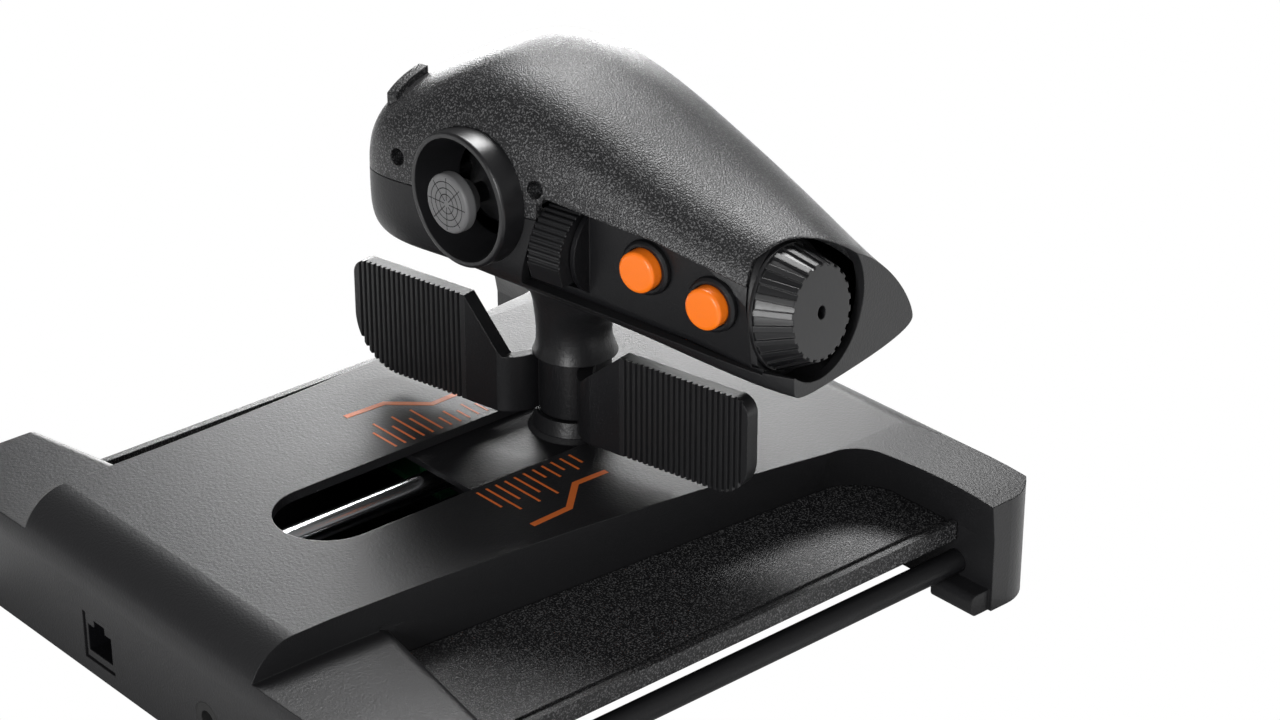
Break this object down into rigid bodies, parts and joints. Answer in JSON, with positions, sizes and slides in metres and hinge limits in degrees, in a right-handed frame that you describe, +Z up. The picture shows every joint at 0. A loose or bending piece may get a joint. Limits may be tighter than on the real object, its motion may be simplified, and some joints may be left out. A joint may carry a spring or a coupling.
{
  "type": "throttle quadrant",
  "caption": "Left-hand desk flight throttle: hand grip sliding on two steel rails in a slotted dark base, with rudder paddles, mini stick, rocker, buttons and ribbed knob",
  "frame": {"origin": "on the table under the middle of the base", "axes": "+Y forward away from the user, +X to the user's right, +Z up"},
  "size_m": [0.188, 0.196, 0.1321],
  "materials": {
    "dark_plastic": "fine moulded grain",
    "speckled_plastic": "dark with fine pale specks, satin",
    "panel_plastic": "fine satin",
    "black_plastic": "fine grain",
    "gloss_black": "smooth moulded",
    "knob_plastic": "semi-gloss moulded",
    "orange_plastic": "smooth moulded",
    "rail_steel": "ground and polished",
    "plate_steel": "zinc plated",
    "bronze": "sintered",
    "insert_brass": "turned",
    "foot_rubber": "matt",
    "board_green": "solder mask",
    "paddle_plastic": "satin"
  },
  "bodies": {
    "base": {"top_cover": "dark_plastic", "bottom_shell": "black_plastic", "ballast_plate": "plate_steel", "left_side_tray": "speckled_plastic", "right_side_tray": "speckled_plastic", "left_side_rod": "black_plastic", "right_side_rod": "black_plastic", "left_guide_rail": "rail_steel", "right_guide_rail": "rail_steel", "front_rail_holder": "black_plastic", "rear_rail_holder": "black_plastic", "rubber_feet": "foot_rubber", "threaded_inserts": "insert_brass", "base_screws": "plate_steel", "base_circuit_board": "board_green", "pedal_jack": "gloss_black", "cable_gland": "foot_rubber", "slide_sensor": "black_plastic"},
    "pinion": {"pinion_gear": "black_plastic"},
    "adjuster": {"friction_screw": "insert_brass", "friction_pad": "foot_rubber"},
    "grip": {"carriage": "black_plastic", "rail_bushes": "bronze", "slot_cover": "black_plastic", "gear_rack": "black_plastic", "neck_column": "black_plastic", "neck_collar": "black_plastic", "grip_upper_shell": "speckled_plastic", "grip_lower_shell": "dark_plastic", "finger_panel": "panel_plastic", "rocker_axle": "plate_steel", "button_bezels": "black_plastic", "front_switches": "board_green", "knob_sensor": "black_plastic", "stick_bezel": "knob_plastic", "stick_module": "black_plastic", "thumb_panel": "panel_plastic", "hat_switches": "black_plastic", "grip_circuit_board": "board_green", "grip_screws": "plate_steel"},
    "rudder": {"rudder_rocker": "black_plastic", "left_paddle": "paddle_plastic", "right_paddle": "paddle_plastic"},
    "rocker": {"rocker_switch": "knob_plastic"},
    "button_inner": {"front_button_inner": "orange_plastic"},
    "button_outer": {"front_button_outer": "orange_plastic"},
    "knob": {"antenna_knob": "knob_plastic"},
    "stick_ring": {"stick_yoke": "plate_steel"},
    "stick_stem": {"stick_post": "black_plastic"},
    "stick_top": {"stick_cap": "foot_rubber"},
    "pov_ring": {"pov_hat_frame": "plate_steel"},
    "pov": {"pov_hat": "knob_plastic"},
    "hat_two_ring": {"hat_two_frame": "plate_steel"},
    "hat_two_body": {"hat_two": "knob_plastic"},
    "hat_three_ring": {"hat_three_frame": "plate_steel"},
    "hat_three_body": {"hat_three": "knob_plastic"},
    "thumb_key": {"thumb_button": "orange_plastic"}
  },
  "joints": [
    {"name": "throttle_slide", "type": "slide", "parent": "base", "child": "grip", "axis": [0, 1, 0], "range_m": [-0.016, 0.062]},
    {"name": "pinion_turn", "type": "hinge", "parent": "base", "child": "pinion", "pos_m": [-0.0334, -0.006, 0.025], "axis": [0, 0, 1], "range_deg": [-150, 560]},
    {"name": "friction_adjust", "type": "hinge", "parent": "base", "child": "adjuster", "pos_m": [0, -0.008, 0.005], "axis": [0, 0, 1], "range_deg": [0, 360]},
    {"name": "rudder_turn", "type": "hinge", "parent": "grip", "child": "rudder", "pos_m": [0, -0.029, 0.047], "axis": [0, 0, 1], "range_deg": [-15, 15], "stiffness_Nm_per_rad": 0.25},
    {"name": "rocker_tilt", "type": "hinge", "parent": "grip", "child": "rocker", "pos_m": [-0.01865, -0.0148, 0.095], "axis": [0.9816, 0.1908, 0], "range_deg": [-12, 12], "stiffness_Nm_per_rad": 0.06},
    {"name": "front_button_inner_press", "type": "slide", "parent": "grip", "child": "button_inner", "axis": [0.1908, -0.9816, 0], "range_m": [0, 0.0012], "stiffness_N_per_m": 600, "springref_m": -0.0005},
    {"name": "front_button_outer_press", "type": "slide", "parent": "grip", "child": "button_outer", "axis": [0.1908, -0.9816, 0], "range_m": [0, 0.0012], "stiffness_N_per_m": 600, "springref_m": -0.0005},
    {"name": "antenna_knob_turn", "type": "hinge", "parent": "grip", "child": "knob", "pos_m": [-0.06818, -0.03461, 0.089], "axis": [-0.9732, -0.1892, 0.1305], "range_deg": [-150, 150]},
    {"name": "stick_left_right", "type": "hinge", "parent": "grip", "child": "stick_ring", "pos_m": [0.00439, -0.0149, 0.1026], "axis": [0, 0, 1], "range_deg": [-15, 15], "stiffness_Nm_per_rad": 0.08},
    {"name": "stick_up_down", "type": "hinge", "parent": "stick_ring", "child": "stick_stem", "pos_m": [0.00439, -0.0149, 0.1026], "axis": [0.9994, 0.0349, 0], "range_deg": [-15, 15], "stiffness_Nm_per_rad": 0.08},
    {"name": "stick_press", "type": "slide", "parent": "stick_stem", "child": "stick_top", "axis": [0.0349, -0.9994, 0], "range_m": [0, 0.0008], "stiffness_N_per_m": 800, "springref_m": -0.0005},
    {"name": "pov_left_right", "type": "hinge", "parent": "grip", "child": "pov_ring", "pos_m": [0.02498, -0.05267, 0.103], "axis": [0, 0, 1], "range_deg": [-7, 7], "stiffness_Nm_per_rad": 0.05},
    {"name": "pov_up_down", "type": "hinge", "parent": "pov_ring", "child": "pov", "pos_m": [0.02498, -0.05267, 0.103], "axis": [0.9816, 0.1908, 0], "range_deg": [-7, 7], "stiffness_Nm_per_rad": 0.05},
    {"name": "hat_two_left_right", "type": "hinge", "parent": "grip", "child": "hat_two_ring", "pos_m": [0.03185, -0.05133, 0.0902], "axis": [0, 0, 1], "range_deg": [-7, 7], "stiffness_Nm_per_rad": 0.05},
    {"name": "hat_two_up_down", "type": "hinge", "parent": "hat_two_ring", "child": "hat_two_body", "pos_m": [0.03185, -0.05133, 0.0902], "axis": [0.9816, 0.1908, 0], "range_deg": [-7, 7], "stiffness_Nm_per_rad": 0.05},
    {"name": "hat_three_left_right", "type": "hinge", "parent": "grip", "child": "hat_three_ring", "pos_m": [0.0181, -0.054, 0.0902], "axis": [0, 0, 1], "range_deg": [-7, 7], "stiffness_Nm_per_rad": 0.05},
    {"name": "hat_three_up_down", "type": "hinge", "parent": "hat_three_ring", "child": "hat_three_body", "pos_m": [0.0181, -0.054, 0.0902], "axis": [0.9816, 0.1908, 0], "range_deg": [-7, 7], "stiffness_Nm_per_rad": 0.05},
    {"name": "thumb_button_press", "type": "slide", "parent": "grip", "child": "thumb_key", "axis": [-0.1908, 0.9816, 0], "range_m": [0, 0.001], "stiffness_N_per_m": 600, "springref_m": -0.0005}
  ],
  "couplings": [
    {"joint": "pinion_turn", "follows": "throttle_slide", "rad_per_m": 156.25}
  ]
}
